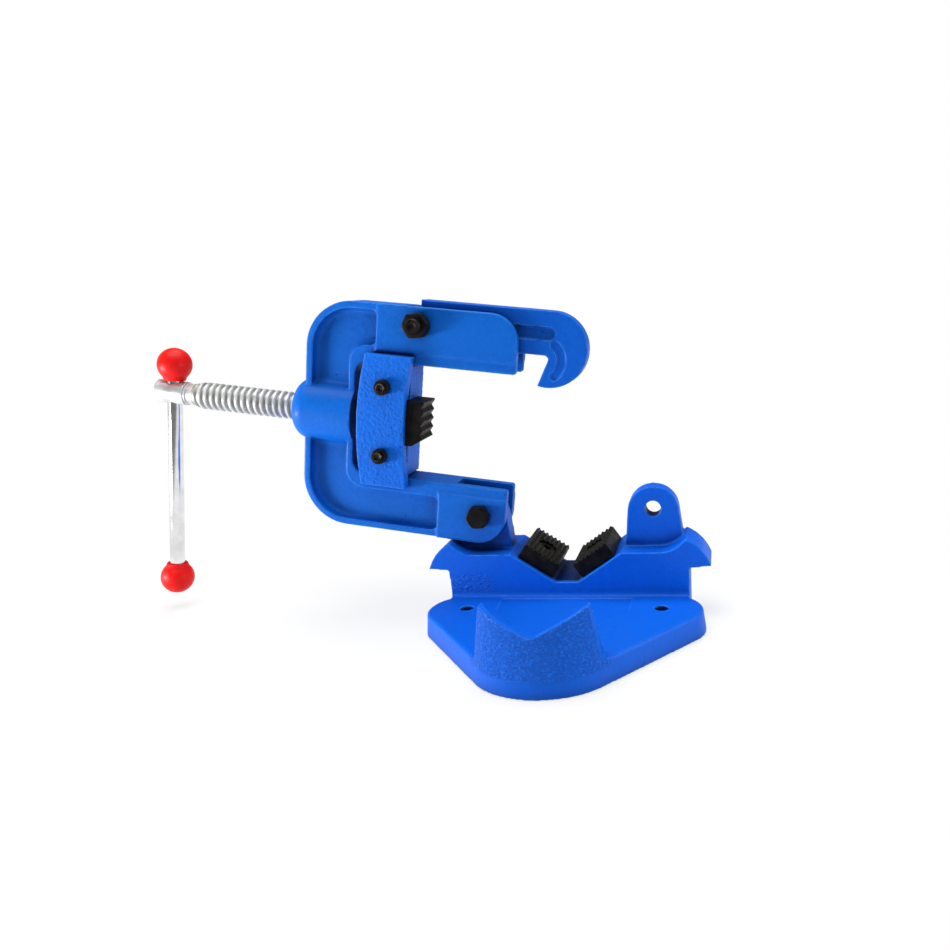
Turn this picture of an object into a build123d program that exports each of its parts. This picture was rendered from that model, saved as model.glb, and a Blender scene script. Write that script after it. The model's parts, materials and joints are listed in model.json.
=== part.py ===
from build123d import *
import os
from math import acos, atan2, cos, hypot, pi, radians, sin, sqrt, tan

# Yoke pipe vise, millimetres. X runs along the saddle, Y back along the pipe, Z up.
# The origin lies on the bench face, midway between the two bench bolts.

# Base plate
plate_thickness = 15.0
plate_flare = 1.5
bench_hole_spacing = 131.0
bench_hole_diameter = 9.0
ear_radius = 26.5
nose_radius = 46.0
nose_set_forward = 54.0
plate_edge_round = 2.0
panel_depth = 0.8
panel_front_half = 27.0
panel_back_half = 45.0
panel_length = 27.0
panel_set_back = 25.5

# Saddle wall with its two horns, and the block behind it
wall_set_back = 22.5
wall_thickness = 33.0
wall_root_round = 3.0
wall_half_width = 82.5
block_half_width = 50.0
block_depth = 50.0
saddle_height = 45.0
vee_floor_height = 25.0
vee_floor_half = 8.0
vee_slope = 33.5
horn_underside = 33.8
horn_root_half = 83.4
horn_tip_half = 97.8
horn_tip_height = 35.2
horn_peak_half = 81.3
horn_bulge = 2.6
valley_start_half = 63.5

# Hinge lugs
lug_spacing = 120.0
pivot_height = 71.0
lug_thickness = 14.0
lug_radius = 17.5
lug_round_drop = 2.2
lug_foot_half = 20.0
lug_centre_behind_wall = 23.0
lug_foot_round = 1.5

# Pipe rest on the nose
rest_thickness = 6.0
rest_top_thickness = 5.0
rest_foot_half = 38.0
rest_top_half = 32.0
rest_height = 48.0
rest_vee_depth = 14.0
rest_vee_round = 6.0
rest_peak_round = 0.8

# Lower jaws
lower_jaw_length = 28.0
lower_jaw_width = 43.0
lower_jaw_thickness = 12.0
lower_jaw_gap = 3.0
lower_jaw_front = 3.5
lower_tooth_count = 8
lower_tooth_depth = 1.8
jaw_screw_diameter = 8.0
jaw_screw_head_diameter = 13.0
jaw_screw_head_height = 6.0
jaw_screw_head_chamfer = 0.6
jaw_screw_sink = 2.5
jaw_screw_length = 24.0
jaw_screw_socket = 6.0
tap_run_out = 2.0

# Yoke, drawn upright as it stands over a clamped pipe
yoke_half_width = 80.0
yoke_gap_half = 40.0
yoke_gap_top = 166.5
crown_top = 204.0
crown_corner_round = 34.0
gap_corner_round = 10.0
leg_end_height = 52.5
leg_end_round = 20.0
leg_inner_round = 2.0
web_half_thickness = 6.0
rim_edge_round = 1.2
rim_half_depth = 13.75
outer_rim_width = 5.0
inner_rim_half = 51.0
inner_rim_top_width = 5.0
inner_rim_round = 13.0
rim_root_round = 4.0
pocket_corner_round = 5.0
cheek_half_depth = 15.25
cheek_band_half = 47.5
hinge_cheek_top = 101.5
hook_cheek_top = 152.0
lug_slot_gap = 4.2
hook_slot_gap = 4.3
hook_slot_floor_half = 54.0
boss_diameter = 45.0
boss_top = 214.5
boss_end_round = 12.0
boss_root_round = 6.0
side_clearance = 0.5

# How far the open yoke stands from level, and how near it lies to the left horn
open_tilt = 9.0
rest_gap = 0.3

# Bolts of the yoke
pivot_bolt_diameter = 10.0
pivot_hole_clearance = 0.3
pivot_head_across = 16.0
pivot_head_height = 6.5
pivot_nut_height = 8.0
pivot_washer_diameter = 20.0
pivot_washer_thickness = 1.8
hex_head_chamfer = 1.2
hex_chamfer_slope = 30.0
pivot_bolt_chamfer = 1.0
bolt_point = 4.0
fastener_fit = 0.05

# Hook
hook_back_reach = 17.2
hook_pivot_height = 121.7
hook_shoulder_rise = 1.8
hook_eye_radius = 10.5
hook_bow_radius = 26.0
hook_bow_half = 58.7
hook_bow_height = 32.3
hook_throat_half = 52.4
hook_throat_round = 2.0
hook_edge_round = 1.2
hook_throat_height = 32.5
hook_tip_half = 33.0
hook_tip_height = 39.1
hook_pocket_depth = 2.5
hook_pocket_flat = 0.2
hook_groove_depth = 1.2
hook_groove_width = 6.0
hook_groove_radius = 14.0
hook_groove_start = -38.0
hook_groove_sweep = 97.0
hook_groove_in = 1.2
hook_groove_up = 4.8
hook_pocket_outer = 73.4
hook_pocket_inner = 64.9
hook_pocket_drop = 11.2
hook_pocket_bottom = 29.0

# Sliding carrier of the upper jaw
carrier_plate_half = 46.4
carrier_plate_thickness = 8.0
carrier_bottom_centre = 126.8
carrier_bottom_end = 123.0
carrier_top_centre = 162.0
carrier_top_end = 157.0
block_bottom = 126.0
block_top = 160.5
flange_bottom = 136.5
slide_clearance = 0.3
pad_height = 2.0
pad_radius = 8.0
carrier_edge_round = 1.2
block_corner_round = 1.0
carrier_bolt_spacing = 48.0
carrier_bolt_height = 142.5
carrier_bolt_diameter = 6.0
carrier_bolt_clearance = 0.4
carrier_head_across = 10.0
carrier_head_height = 4.0
carrier_nut_height = 5.0
carrier_bolt_point = 2.0
carrier_bolt_chamfer = 0.6

# Upper jaw
upper_jaw_half = 16.0
upper_jaw_depth = 24.0
upper_jaw_height = 16.2
upper_jaw_bevel = 8.0
upper_jaw_bevel_run = 5.3
upper_jaw_land = 1.5
upper_jaw_behind_wall = 5.5
upper_tooth_count = 4
upper_tooth_depth = 2.0
upper_screw_diameter = 6.0
upper_screw_in_jaw = 8.0
upper_screw_in_block = 12.0

# Spindle
screw_diameter = 20.0
screw_running_clearance = 0.1
thread_end = 300.5
neck_diameter = 15.0
neck_end = 308.9
head_diameter = 17.5
head_end = 332.8
journal_diameter = 14.0
journal_bottom = 138.5
journal_clearance = 0.1
groove_diameter = 10.5
groove_width = 4.3
groove_height = 148.5
retaining_pin_diameter = 4.0
bar_height = 315.5
head_chamfer = 1.0

# Handle
bar_diameter = 11.0
bar_clearance = 0.2
ball_diameter = 26.0
ball_spacing = 168.0
ball_neck_reach = 13.0
ball_neck_diameter = 13.4
ball_neck_root = 16.0
bar_socket_depth = 8.0

# Values worked out from those above
wall_front = wall_set_back
mid_y = wall_front + lug_centre_behind_wall
lug_half = lug_spacing / 2
pivot_point = (-lug_half, mid_y, pivot_height)
opening_angle = 90 - open_tilt
outer_reach = yoke_half_width - lug_half
tip_run = horn_peak_half - lug_half
contact_run = (tip_run - outer_reach * cos(radians(opening_angle))) / sin(radians(opening_angle))
horn_peak_height = (
    pivot_height
    - outer_reach * sin(radians(opening_angle))
    + contact_run * cos(radians(opening_angle))
    - rest_gap
)
hook_outer_half = hook_bow_half + hook_bow_radius
hook_pivot_half = hook_outer_half - hook_back_reach
vee_run = (saddle_height - vee_floor_height) / tan(radians(vee_slope))
vee_top_half = vee_floor_half + vee_run
jaw_screw_seat = lower_jaw_thickness - jaw_screw_sink - jaw_screw_head_height
jaw_hole_depth = jaw_screw_length - jaw_screw_seat + tap_run_out
lug_slot_half = lug_thickness / 2 + side_clearance
lug_slot_top = pivot_height - lug_round_drop + lug_radius + lug_slot_gap
hook_slot_top = hook_pivot_height + hook_eye_radius + hook_slot_gap
hook_shoulder_height = hook_pivot_height + hook_shoulder_rise
hook_pocket_top = hook_pivot_height - hook_pocket_drop
hook_groove_centre = (hook_throat_half - hook_groove_in, hook_throat_height + hook_groove_up)
slide_back = rim_half_depth + slide_clearance
block_half = yoke_gap_half - side_clearance
pivot_hole_diameter = pivot_bolt_diameter + 2 * pivot_hole_clearance
jaw_gap_front = wall_front + lower_jaw_front
upper_jaw_mid_y = wall_front + upper_jaw_behind_wall + upper_jaw_depth / 2
upper_jaw_crest = block_bottom - upper_jaw_height
upper_jaw_root = upper_jaw_crest + upper_tooth_depth
inner_rim_top = yoke_gap_top + inner_rim_top_width
head_axis_gap = head_diameter / 2 + rest_gap
upper_ball_x = head_axis_gap + ball_neck_reach
lower_ball_x = upper_ball_x - ball_spacing
pivot_bore = pivot_bolt_diameter + 2 * fastener_fit
carrier_bore = carrier_bolt_diameter + carrier_bolt_clearance
upper_screw_bore = upper_screw_diameter + 2 * fastener_fit
journal_bore = journal_diameter + 2 * journal_clearance
boss_bore = screw_diameter + 2 * screw_running_clearance
bar_bore = bar_diameter + 2 * bar_clearance
upright = (Align.CENTER, Align.CENTER, Align.MIN)


def belt(circles):
    """The face inside a belt round (x, y, radius) circles, given counter-clockwise."""
    spans = []
    for (x1, y1, r1), (x2, y2, r2) in zip(circles, circles[1:] + circles[:1]):
        heading = atan2(y2 - y1, x2 - x1)
        normal = heading - acos((r1 - r2) / hypot(x2 - x1, y2 - y1))
        start = (x1 + r1 * cos(normal), y1 + r1 * sin(normal))
        end = (x2 + r2 * cos(normal), y2 + r2 * sin(normal))
        spans.append((normal, start, end))
    edges = []
    for i, (x, y, r) in enumerate(circles):
        arrive, _, arc_start = spans[i - 1]
        leave, arc_end, span_end = spans[i]
        if r > 0:
            halfway = arrive + ((leave - arrive) % (2 * pi)) / 2
            on_arc = (x + r * cos(halfway), y + r * sin(halfway))
            edges.append(ThreePointArc(arc_start, on_arc, arc_end).edge())
        edges.append(Line(arc_end, span_end).edge())
    return make_face(edges)


def slab(outline, front, back):
    """A plate from front to back along Y, whose outline is drawn as (x, z)."""
    face = Plane(origin=(0, back, 0), x_dir=(1, 0, 0), z_dir=(0, -1, 0)) * outline
    return extrude(face, amount=back - front)


def mid_slab(outline, half):
    """A plate centred on the middle of the yoke."""
    return slab(outline, mid_y - half, mid_y + half)


def rounded(corners):
    """A closed outline of (x, y, radius) corners."""
    points = [(x, y) for x, y, _ in corners]
    return make_face(FilletPolyline(*points, radius=[r for _, _, r in corners], close=True))


def bounded(edges):
    """The face inside a closed run of lines and arcs."""
    return make_face([edge.edge() for edge in edges])


def closed(points):
    return make_face(Polyline(*points, close=True))


def rod(centre, diameter, front, back):
    """A cylinder along Y through the point (x, z)."""
    return slab(Pos(*centre) * Circle(diameter / 2), front, back)


def post(centre, diameter, bottom, top):
    """A cylinder along Z through the point (x, y)."""
    return Pos(*centre, bottom) * extrude(Circle(diameter / 2), amount=top - bottom)


def bore(centre, diameter):
    """A cutter along Y that runs through all that the yoke or a lug has there."""
    return rod(centre, diameter, mid_y - boss_diameter, mid_y + boss_diameter)


def hexagon(centre, across, front, back, rounded_front):
    """A nut or bolt head along Y, its outer corners turned off."""
    prism = slab(Pos(*centre) * RegularPolygon(across / 2, 6, major_radius=False), front, back)
    corner = across / sqrt(3)
    height = back - front
    reach = corner + height / tan(radians(hex_chamfer_slope))
    cone = Cone(reach, corner - hex_head_chamfer / 2, height, align=upright)
    turned = Rot(90, 0, 0) * cone if rounded_front else Rot(-90, 0, 0) * cone
    start = back if rounded_front else front
    return prism & (Pos(centre[0], start, centre[1]) * turned)


def swing_open(shape):
    """Lays the upright yoke, or a piece that it carries, back on the left horn."""
    return shape.rotate(Axis(pivot_point, (0, 1, 0)), -opening_angle)


def save(shape, name):
    solids = shape.solids()
    whole = solids[0] if len(solids) == 1 else Compound(children=list(solids))
    export_step(whole, "parts/" + name + ".step")


def plate_outline(growth):
    """Two ears and a round nose, drawn round with one belt."""
    half = bench_hole_spacing / 2
    nose = (0, -nose_set_forward, nose_radius + growth)
    return belt([(-half, 0, ear_radius + growth), nose, (half, 0, ear_radius + growth)])


def plate():
    """The base plate, a little wider at the bench than at the top."""
    blank = loft([plate_outline(plate_flare), Pos(0, 0, plate_thickness) * plate_outline(0)], ruled=True)
    rim = blank.faces().sort_by(Axis.Z)[-1].edges()
    return fillet(rim, plate_edge_round)


def saddle_half_outline():
    """Right half of the wall: side, horn, valley, ledge and vee."""
    side_top = (horn_root_half, horn_underside)
    tip = (horn_tip_half, horn_tip_height)
    peak = (horn_peak_half, horn_peak_height)
    chord_x = (tip[0] + peak[0]) / 2
    chord_z = (tip[1] + peak[1]) / 2
    chord = sqrt((tip[0] - peak[0]) ** 2 + (tip[1] - peak[1]) ** 2)
    bulge_x = chord_x + horn_bulge * (peak[1] - tip[1]) / chord
    bulge_z = chord_z + horn_bulge * (tip[0] - peak[0]) / chord
    valley_start = (valley_start_half, saddle_height)
    edges = [
        Line((0, 0), (wall_half_width, 0)),
        Line((wall_half_width, 0), side_top),
        Line(side_top, tip),
        ThreePointArc(tip, (bulge_x, bulge_z), peak),
        TangentArc([valley_start, peak], tangent=(1, 0)),
        Line(valley_start, (vee_top_half, saddle_height)),
        Line((vee_top_half, saddle_height), (vee_floor_half, vee_floor_height)),
        Line((vee_floor_half, vee_floor_height), (0, vee_floor_height)),
        Line((0, vee_floor_height), (0, 0)),
    ]
    return bounded(edges)


def block_outline():
    half = closed([
        (0, 0),
        (block_half_width, 0),
        (block_half_width, saddle_height),
        (vee_top_half, saddle_height),
        (vee_floor_half, vee_floor_height),
        (0, vee_floor_height),
    ])
    return half + mirror(half, about=Plane.YZ)


def lug(side):
    """An upright ear whose flanks flare into the ledge, drilled for the hinge bolt."""
    x = side * lug_half
    ear = belt([
        (x, pivot_height - lug_round_drop, lug_radius),
        (x - lug_foot_half, saddle_height, 0),
        (x + lug_foot_half, saddle_height, 0),
    ])
    reach = lug_foot_half + lug_foot_round
    foot = box_outline(x - reach, x + reach, saddle_height - lug_foot_round, saddle_height)
    outline = ear + foot
    corners = outline.vertices().filter_by(lambda v: abs(v.Y - saddle_height) < lug_foot_round / 2)
    corners = corners.filter_by(lambda v: abs(abs(v.X - x) - lug_foot_half) < lug_foot_round / 2)
    blank = mid_slab(fillet(corners, lug_foot_round), lug_thickness / 2)
    return blank - bore((x, pivot_height), pivot_hole_diameter)


def pipe_rest():
    """A curved wall on the nose with a shallow vee that carries a long pipe."""
    centre = (0, -nose_set_forward)
    rise = rest_height - plate_thickness
    foot_radius = nose_radius
    lean = rise * plate_flare / plate_thickness
    low = plate_thickness - plate_edge_round
    outside = Cone(
        foot_radius + plate_edge_round * plate_flare / plate_thickness,
        foot_radius - lean,
        rest_height - low,
        align=upright,
    )
    inside = Cone(
        foot_radius - rest_thickness,
        foot_radius - lean - rest_top_thickness,
        rest_height - low,
        align=upright,
    )
    ring = Pos(*centre, low) * (outside - inside)
    vee_bottom = rest_height - rest_vee_depth
    front_view = rounded([
        (-rest_foot_half, low, 0),
        (-rest_top_half, rest_height, rest_peak_round),
        (0, vee_bottom, rest_vee_round),
        (rest_top_half, rest_height, rest_peak_round),
        (rest_foot_half, low, 0),
    ])
    window = slab(front_view, -nose_set_forward - nose_radius - plate_flare, -nose_set_forward)
    return ring & window


def jaw_screw_place(side):
    """Where a lower jaw's screw meets the slope: X, Z and the slope's normal."""
    along = lower_jaw_gap + lower_jaw_length / 2
    slope = radians(vee_slope)
    x = side * (vee_floor_half + along * cos(slope))
    z = vee_floor_height + along * sin(slope)
    return Plane(
        origin=(x, jaw_gap_front + lower_jaw_width / 2, z),
        x_dir=(side * cos(slope), 0, sin(slope)),
        z_dir=(-side * sin(slope), 0, cos(slope)),
    )


def wall_root():
    """The soft corner where the wall rises from the plate."""
    r = wall_root_round
    foot = (wall_front - r, plate_thickness)
    on_arc = (wall_front - r + r * sin(pi / 4), plate_thickness + r - r * cos(pi / 4))
    top = (wall_front, plate_thickness + r)
    behind = wall_front + r
    below = plate_thickness - r
    profile = bounded([
        ThreePointArc(foot, on_arc, top),
        Line(top, (behind, plate_thickness + r)),
        Line((behind, plate_thickness + r), (behind, below)),
        Line((behind, below), (wall_front - r, below)),
        Line((wall_front - r, below), foot),
    ])
    across = Plane(origin=(-wall_half_width, 0, 0), x_dir=(0, 1, 0), z_dir=(1, 0, 0))
    return extrude(across * profile, amount=2 * wall_half_width, dir=(1, 0, 0))


def base_casting():
    wall_half = saddle_half_outline()
    wall = slab(wall_half + mirror(wall_half, about=Plane.YZ), wall_front, wall_front + wall_thickness)
    rear_block = slab(block_outline(), wall_front, wall_front + block_depth)
    body = plate() + wall + rear_block
    for side in (-1, 1):
        body += lug(side)
    panel = closed([
        (-panel_front_half, wall_front - panel_set_back - panel_length),
        (panel_front_half, wall_front - panel_set_back - panel_length),
        (panel_back_half, wall_front - panel_set_back),
        (panel_back_half, wall_front - wall_root_round),
        (-panel_back_half, wall_front - wall_root_round),
        (-panel_back_half, wall_front - panel_set_back),
    ])
    body -= Pos(0, 0, plate_thickness - panel_depth) * extrude(panel, amount=panel_depth)
    body += pipe_rest() + wall_root()
    for side in (-1, 1):
        body -= post((side * bench_hole_spacing / 2, 0), bench_hole_diameter, 0, plate_thickness)
        place = jaw_screw_place(side)
        hole = Cylinder(jaw_screw_diameter / 2 + fastener_fit, 2 * jaw_hole_depth)
        body -= place * hole
    return body


def toothed_outline(length, thickness, count, depth):
    """A jaw seen from its end: a flat back and a row of equal teeth."""
    pitch = length / count
    points = [(-length / 2, 0), (length / 2, 0)]
    for i in range(count):
        root = length / 2 - i * pitch
        points.append((root, thickness - depth))
        points.append((root - pitch / 2, thickness))
    points.append((-length / 2, thickness - depth))
    return closed(points)


def lower_jaw(side):
    outline = toothed_outline(lower_jaw_length, lower_jaw_thickness, lower_tooth_count, lower_tooth_depth)
    centred = Plane(origin=(0, lower_jaw_width / 2, 0), x_dir=(1, 0, 0), z_dir=(0, -1, 0))
    blank = extrude(centred * outline, amount=lower_jaw_width)
    blank -= Cylinder(jaw_screw_diameter / 2 + pivot_hole_clearance, 3 * lower_jaw_thickness)
    counterbore = jaw_screw_head_diameter + 2 * pivot_hole_clearance
    blank -= post((0, 0), counterbore, jaw_screw_seat, lower_jaw_thickness)
    place = jaw_screw_place(side)
    if side < 0:
        blank = Rot(0, 0, 180) * blank
        place = Plane(origin=place.origin, x_dir=-place.x_dir, z_dir=place.z_dir)
    return place * blank


def lower_jaw_screw(side):
    """A socket head screw whose head is sunk below the teeth."""
    head = post((0, 0), jaw_screw_head_diameter, 0, jaw_screw_head_height)
    head = chamfer(head.faces().sort_by(Axis.Z)[-1].edges(), jaw_screw_head_chamfer)
    socket = RegularPolygon(jaw_screw_socket / 2, 6, major_radius=False)
    head -= Pos(0, 0, jaw_screw_head_height / 2) * extrude(socket, amount=jaw_screw_head_height)
    screw = head + post((0, 0), jaw_screw_diameter, -jaw_screw_length, 0)
    return jaw_screw_place(side) * (Pos(0, 0, jaw_screw_seat) * screw)


def yoke_outline():
    """The whole U, with its rounded crown and leg ends."""
    return rounded([
        (-yoke_half_width, leg_end_height, leg_end_round),
        (-yoke_half_width, crown_top, crown_corner_round),
        (yoke_half_width, crown_top, crown_corner_round),
        (yoke_half_width, leg_end_height, leg_end_round),
        (yoke_gap_half, leg_end_height, leg_inner_round),
        (yoke_gap_half, yoke_gap_top, gap_corner_round),
        (-yoke_gap_half, yoke_gap_top, gap_corner_round),
        (-yoke_gap_half, leg_end_height, leg_inner_round),
    ])


def box_outline(left, right, bottom, top):
    return closed([(left, bottom), (right, bottom), (right, top), (left, top)])


def web_pocket(side):
    """What is cast away in front of the web or behind it, with a soft root all round."""
    outer = yoke_half_width - outer_rim_width
    top = crown_top - outer_rim_width
    outline = rounded([
        (-outer, hinge_cheek_top, pocket_corner_round),
        (-outer, top, crown_corner_round - outer_rim_width),
        (outer, top, crown_corner_round - outer_rim_width),
        (outer, hook_cheek_top, pocket_corner_round),
        (inner_rim_half, hook_cheek_top, pocket_corner_round),
        (inner_rim_half, inner_rim_top, inner_rim_round),
        (-inner_rim_half, inner_rim_top, inner_rim_round),
        (-inner_rim_half, hinge_cheek_top, pocket_corner_round),
    ])
    spans = sorted((mid_y + side * web_half_thickness, mid_y + side * 2 * rim_half_depth))
    tool = slab(outline, spans[0], spans[1])
    floor = tool.faces().sort_by(Axis.Y)[0 if side > 0 else -1]
    return fillet(floor.edges(), rim_root_round)


def boss_root(side_x, side_y):
    """The soft corner between the web and the boss, beside the screw."""
    boss_radius = boss_diameter / 2
    r = boss_root_round
    centre_v = web_half_thickness + r
    centre_u = sqrt((boss_radius + r) ** 2 - centre_v ** 2)
    share = boss_radius / (boss_radius + r)
    halfway = (atan2(centre_v, centre_u) + pi / 2) / 2
    corners = [
        (centre_u * share, centre_v * share),
        (centre_u - r * cos(halfway), centre_v - r * sin(halfway)),
        (centre_u, web_half_thickness),
        (centre_u, web_half_thickness / 2),
        (centre_u * share - r / 2, web_half_thickness / 2),
    ]
    on_boss, on_arc, on_web, outer, inner = [(side_x * u, side_y * v) for u, v in corners]
    profile = bounded([
        ThreePointArc(on_boss, on_arc, on_web),
        Line(on_web, outer),
        Line(outer, inner),
        Line(inner, on_boss),
    ])
    bottom = yoke_gap_top + inner_rim_top_width / 2
    height = crown_top - outer_rim_width / 2 - bottom
    return Pos(0, mid_y, bottom) * extrude(profile, amount=height, dir=(0, 0, 1))


def web_and_rims():
    """A U of full depth with a pocket on each face, its outer edges eased."""
    blank = mid_slab(yoke_outline(), rim_half_depth)
    faces = blank.faces().sort_by(Axis.Y)
    blank = fillet(faces[0].edges() + faces[-1].edges(), rim_edge_round)
    return blank - web_pocket(-1) - web_pocket(1)


def cheek(side, top):
    """A thick leg end: the band beside the gap stays at the depth of the rims."""
    if side < 0:
        area = box_outline(-yoke_half_width, -cheek_band_half, leg_end_height, top)
        band = box_outline(-cheek_band_half, -yoke_gap_half, leg_end_height, top)
    else:
        area = box_outline(cheek_band_half, yoke_half_width, leg_end_height, top)
        band = box_outline(yoke_gap_half, cheek_band_half, leg_end_height, top)
    outline = yoke_outline()
    thick = mid_slab(outline & area, cheek_half_depth)
    return thick + mid_slab(outline & band, rim_half_depth - rim_edge_round)


def yoke_casting():
    body = web_and_rims() + cheek(-1, hinge_cheek_top) + cheek(1, hook_cheek_top)
    boss = post((0, mid_y), boss_diameter, yoke_gap_top, boss_top)
    boss = fillet(boss.faces().sort_by(Axis.Z)[-1].edges(), boss_end_round)
    body += boss
    for side_x in (-1, 1):
        for side_y in (-1, 1):
            body += boss_root(side_x, side_y)
    low = leg_end_height - leg_end_round
    both_slots = box_outline(-2 * yoke_half_width, 2 * yoke_half_width, low, lug_slot_top)
    hook_slot = box_outline(hook_slot_floor_half, 2 * yoke_half_width, low, hook_slot_top)
    body -= mid_slab(both_slots, lug_slot_half)
    body -= mid_slab(hook_slot, lug_slot_half)
    for x, z in ((-lug_half, pivot_height), (hook_pivot_half, hook_pivot_height)):
        body -= bore((x, z), pivot_bore)
    return body - post((0, mid_y), boss_bore, leg_end_height, 2 * boss_top)


def pivot_bolt(centre, head_in_front):
    """A hex bolt along Y across one fork, with its head in front or behind."""
    side = -1 if head_in_front else 1
    face = cheek_half_depth
    head_out = face + pivot_head_height
    shank_end = face + pivot_washer_thickness + pivot_nut_height + bolt_point
    spans = sorted((mid_y + side * head_out, mid_y + side * face))
    head = hexagon(centre, pivot_head_across, spans[0], spans[1], not head_in_front)
    shank = sorted((mid_y + side * face, mid_y - side * shank_end))
    stem = rod(centre, pivot_bolt_diameter, shank[0], shank[1])
    stem_end = stem.faces().sort_by(Axis.Y)[-1 if head_in_front else 0]
    stem = chamfer(stem_end.edges(), pivot_bolt_chamfer)
    return head + stem


def pivot_nut(centre, nut_in_front):
    side = -1 if nut_in_front else 1
    inner = cheek_half_depth + pivot_washer_thickness
    spans = sorted((mid_y + side * inner, mid_y + side * (inner + pivot_nut_height)))
    nut = hexagon(centre, pivot_head_across, spans[0], spans[1], not nut_in_front)
    return nut - bore(centre, pivot_bore)


def pivot_washer(centre, nut_in_front):
    side = -1 if nut_in_front else 1
    inner = mid_y + side * cheek_half_depth
    spans = sorted((inner, inner + side * pivot_washer_thickness))
    disc = rod(centre, pivot_washer_diameter, spans[0], spans[1])
    return disc - bore(centre, pivot_bore)


def hook():
    """A flat link with an eye at its pivot, a straight shank and a bow that grips the horn."""
    shank_inner = hook_slot_floor_half + slide_clearance
    eye = Pos(hook_pivot_half, hook_pivot_height) * Circle(hook_eye_radius)
    bow = Pos(hook_bow_half, hook_bow_height) * Circle(hook_bow_radius)
    shank = closed([
        (shank_inner, hook_pivot_height),
        (shank_inner, hook_bow_height),
        (hook_outer_half, hook_bow_height),
        (hook_outer_half, hook_shoulder_height),
        (hook_pivot_half, hook_shoulder_height),
    ])
    mouth = hook_bow_half - 2 * hook_bow_radius
    throat = rounded([
        (shank_inner, hook_throat_height + hook_throat_round, 0),
        (shank_inner, hook_bow_height + 2 * hook_bow_radius, 0),
        (mouth, hook_bow_height + 2 * hook_bow_radius, 0),
        (mouth, hook_tip_height, 0),
        (hook_tip_half, hook_tip_height, 0),
        (hook_throat_half, hook_throat_height, hook_throat_round),
    ])
    outline = eye + shank + (bow - throat)
    blank = mid_slab(outline, lug_thickness / 2)
    faces = blank.faces().sort_by(Axis.Y)
    body = fillet(faces[0].edges() + faces[-1].edges(), hook_edge_round)
    end_round = (hook_pocket_outer - hook_pocket_inner) / 2 - hook_pocket_flat
    pocket = rounded([
        (hook_pocket_inner, hook_pocket_bottom, end_round),
        (hook_pocket_outer, hook_pocket_bottom, end_round),
        (hook_pocket_outer, hook_pocket_top, end_round),
        (hook_pocket_inner, hook_pocket_top, end_round),
    ])
    path = CenterArc(hook_groove_centre, hook_groove_radius, hook_groove_start, -hook_groove_sweep)
    groove = SlotArc(path, hook_groove_width)
    for side in (-1, 1):
        outer = mid_y + side * lug_thickness / 2
        for area, depth in ((pocket, hook_pocket_depth), (groove, hook_groove_depth)):
            spans = sorted((outer, outer - side * depth))
            body -= slab(area, spans[0], spans[1])
    return body - bore((hook_pivot_half, hook_pivot_height), pivot_hole_diameter)


def carrier_bolt_points():
    half = carrier_bolt_spacing / 2
    return [(-half, carrier_bolt_height), (half, carrier_bolt_height)]


def drill_carrier(body):
    for point in carrier_bolt_points():
        body -= bore(point, carrier_bore)
    return body


def carrier_front_plate():
    """The arched plate in front of the rails."""
    half = carrier_plate_half
    low_left, low_right = (-half, carrier_bottom_end), (half, carrier_bottom_end)
    top_left, top_right = (-half, carrier_top_end), (half, carrier_top_end)
    outline = bounded([
        ThreePointArc(low_left, (0, carrier_bottom_centre), low_right),
        Line(low_right, top_right),
        ThreePointArc(top_right, (0, carrier_top_centre), top_left),
        Line(top_left, low_left),
    ])
    face = mid_y - slide_back
    blank = slab(outline, face - carrier_plate_thickness, face)
    blank = fillet(blank.faces().sort_by(Axis.Y)[0].edges(), carrier_edge_round)
    return drill_carrier(blank)


def carrier_back_casting():
    """The block that fills the gap, with pads for the front plate and a flange behind the rails."""
    front = mid_y - slide_back
    outline = rounded([
        (-block_half, block_bottom, block_corner_round),
        (-block_half, block_top, gap_corner_round),
        (block_half, block_top, gap_corner_round),
        (block_half, block_bottom, block_corner_round),
    ])
    block = slab(outline, front + pad_height, mid_y + slide_back)
    for point in carrier_bolt_points():
        block += rod(point, 2 * pad_radius, front, front + pad_height)
    flange = box_outline(-carrier_plate_half, carrier_plate_half, flange_bottom, block_top)
    block += slab(flange, mid_y + slide_back, mid_y + slide_back + carrier_plate_thickness)
    block -= post((0, mid_y), journal_bore, journal_bottom - slide_clearance, block_top)
    block -= retaining_pin(fastener_fit)
    hole_top = block_bottom + upper_screw_in_block + slide_clearance
    block -= post((0, upper_jaw_mid_y), upper_screw_bore, block_bottom, hole_top)
    return drill_carrier(block)


def retaining_pin(growth):
    """A dowel across the block that runs in the groove of the screw's end."""
    x = groove_diameter / 2 + retaining_pin_diameter / 2 + journal_clearance
    back = mid_y + slide_back + carrier_plate_thickness
    front = mid_y - slide_back + pad_height
    return rod((x, groove_height), retaining_pin_diameter + 2 * growth, front, back)


def upper_jaw():
    """Coarse teeth below a flat back, bevelled on the hinge side and held by a hidden stud."""
    half = upper_jaw_half
    crest = half - upper_jaw_land
    pitch = (crest + half - upper_jaw_bevel_run) / upper_tooth_count
    points = [(-half, block_bottom), (half, block_bottom)]
    points += [(half, upper_jaw_crest), (crest, upper_jaw_crest)]
    for i in range(upper_tooth_count):
        points.append((crest - (i + 1 / 2) * pitch, upper_jaw_root))
        points.append((crest - (i + 1) * pitch, upper_jaw_crest))
    points.append((-half, upper_jaw_crest + upper_jaw_bevel))
    front = wall_front + upper_jaw_behind_wall
    body = slab(closed(points), front, front + upper_jaw_depth)
    hole_bottom = block_bottom - upper_screw_in_jaw - slide_clearance
    return body - post((0, upper_jaw_mid_y), upper_screw_bore, hole_bottom, block_bottom)


def upper_jaw_screw():
    """The headless stud that joins jaw and block."""
    bottom = block_bottom - upper_screw_in_jaw
    return post((0, upper_jaw_mid_y), upper_screw_diameter, bottom, block_bottom + upper_screw_in_block)


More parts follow.
